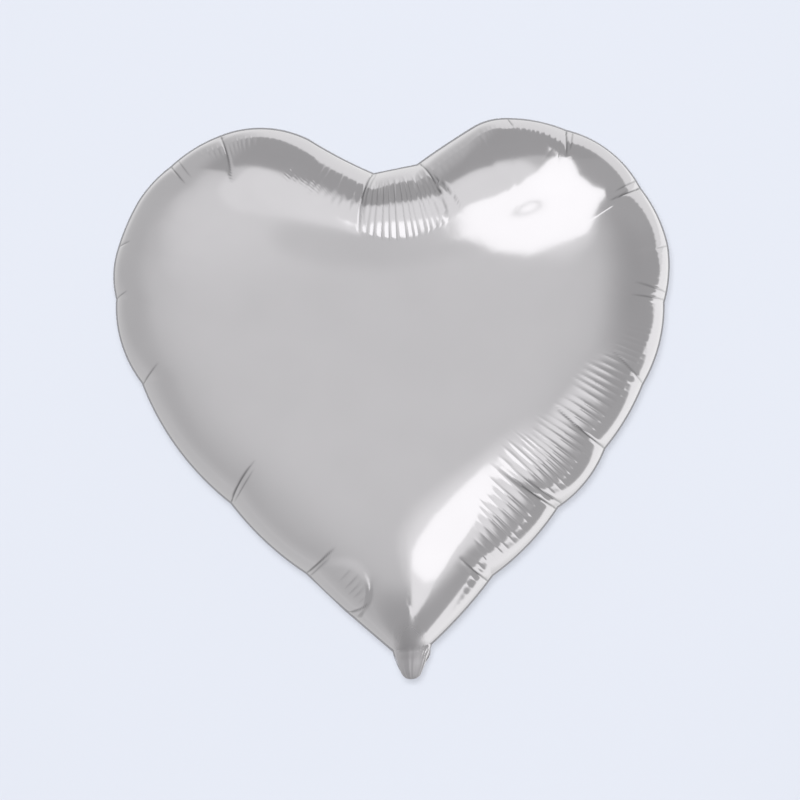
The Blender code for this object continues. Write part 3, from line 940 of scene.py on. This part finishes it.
def back_creases(rng):
    """Creases on the back, one from each of the seam's puckers."""
    creases = []
    for x, z, _ in SEAM:
        if z < BACK_CREASE_LOWEST:
            continue
        inward = np.array(CROWN) - (x, z)
        inward /= np.linalg.norm(inward)
        swing = rng.uniform(-BACK_CREASE_SWING, BACK_CREASE_SWING)
        inward = np.array([inward[0] - swing * inward[1], inward[1] + swing * inward[0]])
        end = np.array((x, z)) + inward * rng.uniform(*BACK_CREASE_LENGTHS)
        deep, wide = rng.uniform(*BACK_CREASE_DEPTHS), rng.uniform(*BACK_CREASE_WIDTHS)
        creases.append((x, z, *end, deep, wide, 0.0, rng.uniform(*BACK_CREASE_PULLS)))
    return creases


def stand_in(piece, replaced, body):
    """Puts a finished piece in the place of its CAD node, which it hides, and attaches it to the named body.
    """
    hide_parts(replaced)
    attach(piece, body)


front_film = metallised_film("metallised_nylon_film", "EAE8EB", roughness=0.11, crinkle=0.5)
back_film = metallised_film("metallised_nylon_film_back", "E8E6E9", roughness=0.12, crinkle=0.5)
weld_film = metallised_film("heat_welded_film", "BEBEC2", roughness=0.28, crinkle=1.0)
valve_film = clear_valve_film("blown_polyethylene_film")

edge = Edge()
rise = Rise(edge)
front = add_panel("front_film", -1, edge, rise, front_film, 5, WRINKLE_GAINS[0], CREASES)
stand_in(front, "front_panel", "envelope")
creases_behind = back_creases(np.random.default_rng(12))
back = add_panel("back_film", 1, edge, rise, back_film, 6, WRINKLE_GAINS[1], creases_behind)
stand_in(back, "back_panel", "envelope")
stand_in(add_rim(weld_film), "seam_weld", "envelope")
stand_in(add_neck(front_film), "neck", "envelope")

tail_films = (
    ("tail_film_front", "tail_front_film", 1.0, TAIL_LENGTH, back_film, 41, TAIL_WRAP),
    ("tail_film_back", "tail_back_film", -1.0, BACK_FILM_LENGTH, front_film, 42, 0.0),
)
for name, replaced, out, length, finish, seed, wrap in tail_films:
    ends, full = (0.0, length), out * TAIL_FULL
    piece = tail_sheet(name, out, ends, tail_half_width, TAIL_THICKNESS, finish, seed, full, wrap)
    stand_in(piece, replaced, "tail")

tail_welds = (
    ("tail_side_weld_left", "tail_weld_left", -1),
    ("tail_side_weld_right", "tail_weld_right", 1),
)
for name, replaced, side in tail_welds:
    stand_in(add_tail_weld(name, side, weld_film), replaced, "tail")

valve_strips = (
    ("valve_strip_front", "valve_film_front", VALVE_OUT, 43),
    ("valve_strip_back", "valve_film_back", -VALVE_OUT, 44),
)
for name, replaced, out, seed in valve_strips:
    ends = (VALVE_START, VALVE_LENGTH)
    piece = tail_sheet(name, out, ends, valve_half_width, VALVE_THICKNESS, valve_film, seed, VALVE_FULL)
    stand_in(piece, replaced, "tail")

# Stage, in metres
BACKDROP_COLOUR = "EAEEF9"
BACKDROP_Y = 0.12
FLOOR_Z = -0.16
PAPER_GLOW = 0.62  # the share of the paper's light that doesn't come from the front lamp
PAPER_MATT = "5A5C60"
LAMP_AWAY = 2.0
LAMP_SIZE = 0.095
LAMP_OFFSET = (-0.018, 0.052)  # from the camera's line, so that the shadow falls a little lower
LAMP_STRENGTH = 3700.0
STAGE_REACH = 3.0  # how far the papers reach


def stage_paper(name, glow_share, matt_colour):
    """Seamless pale paper, lit so evenly that it hardly shades, and clear from behind."""
    made, tree = start_material(name)
    glow = node(tree, "Emission", {"Color": linear(BACKDROP_COLOUR), "Strength": glow_share})
    matt = node(tree, "BsdfDiffuse", {"Color": linear(matt_colour)})
    face = node(tree, "AddShader", in0=glow.outputs["Emission"], in1=matt.outputs["BSDF"])
    clear = node(tree, "BsdfTransparent").outputs["BSDF"]
    behind = node(tree, "NewGeometry").outputs["Backfacing"]
    shown = node(tree, "MixShader", in0=behind, in1=face.outputs["Shader"], in2=clear)
    node(tree, "OutputMaterial", Surface=shown.outputs["Shader"])
    return made


def direction(across, up):
    """A direction given as degrees away from straight ahead of the balloon, to the right and up."""
    turn = math.radians(math.hypot(across, up))
    bearing = math.atan2(up, across)
    return Vector((math.sin(turn) * math.cos(bearing), -math.cos(turn), math.sin(turn) * math.sin(bearing)))


# The studio as the film mirrors it, painted in this order: degrees across and up, the angles where
# a soft panel is full and where it ends, and its grey.
STUDIO = (
    ("dim wall", 0, 0, 170, 180, 0.5),
    ("front wall", -10, 5, 25, 112, 0.66),
    ("lighter wall, upper left", -32, 48, 5, 42, 0.73),
    ("shade under the ceiling panel", -2, 34, 5, 15, 0.61),
    ("ceiling panel, left", -12, 64, 15, 20, 0.8),
    ("ceiling panel, right", 4, 64, 12, 20, 0.82),
    ("glow round the upper soft box", 30, 42, 16, 25, 0.81),
    ("glow round the lower soft box", 25, -50, 14, 28, 0.9),
    ("light strip, lower right", 58, -48, 6, 26, 0.86),
    ("dark side, right", 108, 18, 20, 58, 0.385),
    ("dark ceiling, right", 75, 72, 16, 36, 0.42),
    ("dark ceiling, middle", 0, 116, 33.2, 34.8, 0.39),
    ("dark floor, right", 50, -90, 8, 24, 0.42),
    ("dark floor, middle", -5, -96, 12, 32, 0.4),
    ("backdrop", 180, 0, 52.5, 55.5, 0.8),
    ("backdrop, upper right", 115, 115, 42, 44, 0.8),
    ("backdrop, over the cleft", -50, 150, 33, 34.5, 0.8),
    ("backdrop, lower right", 86, -123, 39, 41, 0.93),
    ("dark wall, lower right", 100, -69, 11.5, 15.5, 0.41),
    ("left wall, far", -122, -5, 8, 42, 0.5),
    ("left wall, upper", -80, 93, 6, 36, 0.52),
    ("left wall, lower", -96, -115, 14, 44, 0.56),
    ("dark floor under the point", -2, -132, 8, 22, 0.4),
)


def add_world():
    """A pale studio all round. The camera sees plain paper, and the film mirrors the soft panels."""
    world = bpy.data.worlds.new("studio")
    world.use_nodes = True
    tree = world.node_tree
    tree.nodes.clear()
    ray = node(tree, "TexCoord").outputs["Generated"]
    grey = node(tree, "Value").outputs[0]
    grey.default_value = STUDIO[0][-1]
    for _, across, up, full, end, level in STUDIO[1:]:
        aim = {"operation": "DOT_PRODUCT", 1: direction(across, up)}
        aim = node(tree, "VectorMath", aim, in0=ray)
        fade = {
            "interpolation_type": "SMOOTHSTEP",
            "From_Min": math.cos(math.radians(end)),
            "From_Max": math.cos(math.radians(full)),
        }
        cover = node(tree, "MapRange", fade, Value=aim.outputs["Value"]).outputs["Result"]
        grey = node(tree, "Mix", {"data_type": "FLOAT", 3: level}, in0=cover, in2=grey).outputs[0]
    lit = node(tree, "Background", {"Color": linear("FFFFFF")}, Strength=grey).outputs[0]
    paper = {"Color": linear(BACKDROP_COLOUR), "Strength": 1.0}
    paper = node(tree, "Background", paper).outputs[0]
    seen = node(tree, "LightPath").outputs["Is Camera Ray"]
    both = node(tree, "MixShader", in0=seen, in1=lit, in2=paper)
    node(tree, "OutputWorld", Surface=both.outputs["Shader"])
    bpy.context.scene.world = world


def add_stage_piece(name, corners, faces, finish, unseen_by):
    """A piece of the studio, which the named kinds of ray pass through."""
    mesh = bpy.data.meshes.new(name)
    mesh.from_pydata(corners, [], faces)
    mesh.materials.append(finish)
    made = bpy.data.objects.new(name, mesh)
    bpy.context.scene.collection.objects.link(made)
    for ray in unseen_by:
        setattr(made, "visible_" + ray, False)


def upright(left, right, y, low, high):
    """The corners of an upright rectangle square to the camera's line."""
    return [(left, y, low), (right, y, low), (right, y, high), (left, y, high)]


# Soft boxes, each an outline of degrees across and up as the film mirrors it
SOFT_BOX_DISTANCE = 1.5
SOFT_BOX_STRENGTH = 1.2
UPPER_SOFT_BOX = (
    (1, 55), (9, 55), (16, 59), (26, 67), (37, 80), (42, 90), (44, 80), (48, 64), (57, 56),
    (70, 53), (60, 45), (54, 38), (48, 30), (40, 27), (23, 22), (14, 25), (6, 35), (3, 47),
)
LOWER_SOFT_BOX = (
    (5, -53), (9, -47), (14, -41), (20, -35), (27, -31), (34, -34), (39, -41),
    (38, -48), (36, -58), (32, -66), (24, -71), (16, -72), (9, -70), (5, -62),
)
LOWER_SKIRT = ((4, -60), (28, -68), (24, -76), (17, -81), (9, -86), (5, -82))
SOFT_BOXES = (
    ("upper_soft_box", SOFT_BOX_STRENGTH, UPPER_SOFT_BOX),
    ("lower_soft_box", SOFT_BOX_STRENGTH, LOWER_SOFT_BOX),
    ("lower_soft_box_skirt", 0.92, LOWER_SKIRT),
)

# The dim ring round the upper soft box's own lamp, as the film mirrors it
RING_PLACE = (23.0, 43.5)
RING_REACH = (5.8, 3.4)
RING_TILT = 22.0
RING_WIDTH = 0.34  # share of its reach
RING_STRENGTH = 0.84
RING_DISTANCE = 1.1
RING_POINTS = 40


def add_soft_boxes():
    middle = Vector((CROWN[0], 0.0, CROWN[1])) * MM
    for name, strength, outline in SOFT_BOXES:
        corners = [middle + SOFT_BOX_DISTANCE * direction(*corner) for corner in outline]
        face = tuple(range(len(corners)))
        add_stage_piece(name, corners, [face], glowing(name, strength), ["camera"])
    corners, tilt = [], math.radians(RING_TILT)
    for share in (1.0, 1.0 - RING_WIDTH):
        for turn in np.arange(RING_POINTS) * 2 * math.pi / RING_POINTS:
            long, short = share * RING_REACH[0] * math.cos(turn), share * RING_REACH[1] * math.sin(turn)
            across = RING_PLACE[0] + long * math.cos(tilt) - short * math.sin(tilt)
            up = RING_PLACE[1] + long * math.sin(tilt) + short * math.cos(tilt)
            corners.append(middle + RING_DISTANCE * direction(across, up))
    here = range(RING_POINTS)
    after = [(k + 1) % RING_POINTS for k in here]
    faces = [(k, n, RING_POINTS + n, RING_POINTS + k) for k, n in zip(here, after)]
    add_stage_piece("soft_box_ring", corners, faces, glowing("soft_box_ring", RING_STRENGTH), ["camera"])


def add_front_lamp():
    """A small soft lamp beside the camera that only the paper takes: it casts the faint shadow."""
    x, z = (centre * MM + offset for centre, offset in zip(FRAME_CENTRE, LAMP_OFFSET))
    half = LAMP_SIZE / 2
    corners = upright(x - half, x + half, -LAMP_AWAY, z - half, z + half)
    glass = glowing("lamp_glass", LAMP_STRENGTH)
    add_stage_piece("front_lamp", corners, [(3, 2, 1, 0)], glass, ["camera", "glossy"])


def add_camera():
    data = bpy.data.cameras.new("camera")
    data.sensor_width = SENSOR
    data.lens = SENSOR * CAMERA_DISTANCE / FRAME_WIDTH
    data.clip_end = 20.0
    camera = bpy.data.objects.new("camera", data)
    bpy.context.scene.collection.objects.link(camera)
    roll = math.radians(ROLL)
    right = Vector((math.cos(roll), 0.0, -math.sin(roll)))
    up = Vector((math.sin(roll), 0.0, math.cos(roll)))
    turn = Matrix((right, up, (0.0, -1.0, 0.0))).transposed()
    place = Vector((FRAME_CENTRE[0], -CAMERA_DISTANCE, FRAME_CENTRE[1])) * MM
    camera.matrix_world = Matrix.Translation(place) @ turn.to_4x4()
    bpy.context.scene.camera = camera


add_world()
paper = stage_paper("pale_paper", PAPER_GLOW, PAPER_MATT)
floor_paper = stage_paper("pale_floor_paper", 1.0, "000000")
reach = STAGE_REACH
wall = upright(-reach, reach, BACKDROP_Y, FLOOR_Z, reach)
ground = [(x, y, FLOOR_Z) for x, y in ((-reach, -reach), (reach, -reach), (reach, reach), (-reach, reach))]
add_stage_piece("backdrop", wall, [(0, 1, 2, 3)], paper, ["glossy", "diffuse"])
add_stage_piece("floor", ground, [(0, 1, 2, 3)], floor_paper, ["glossy", "diffuse"])
add_soft_boxes()
add_front_lamp()
add_camera()
bpy.context.scene.view_settings.view_transform = "Standard"
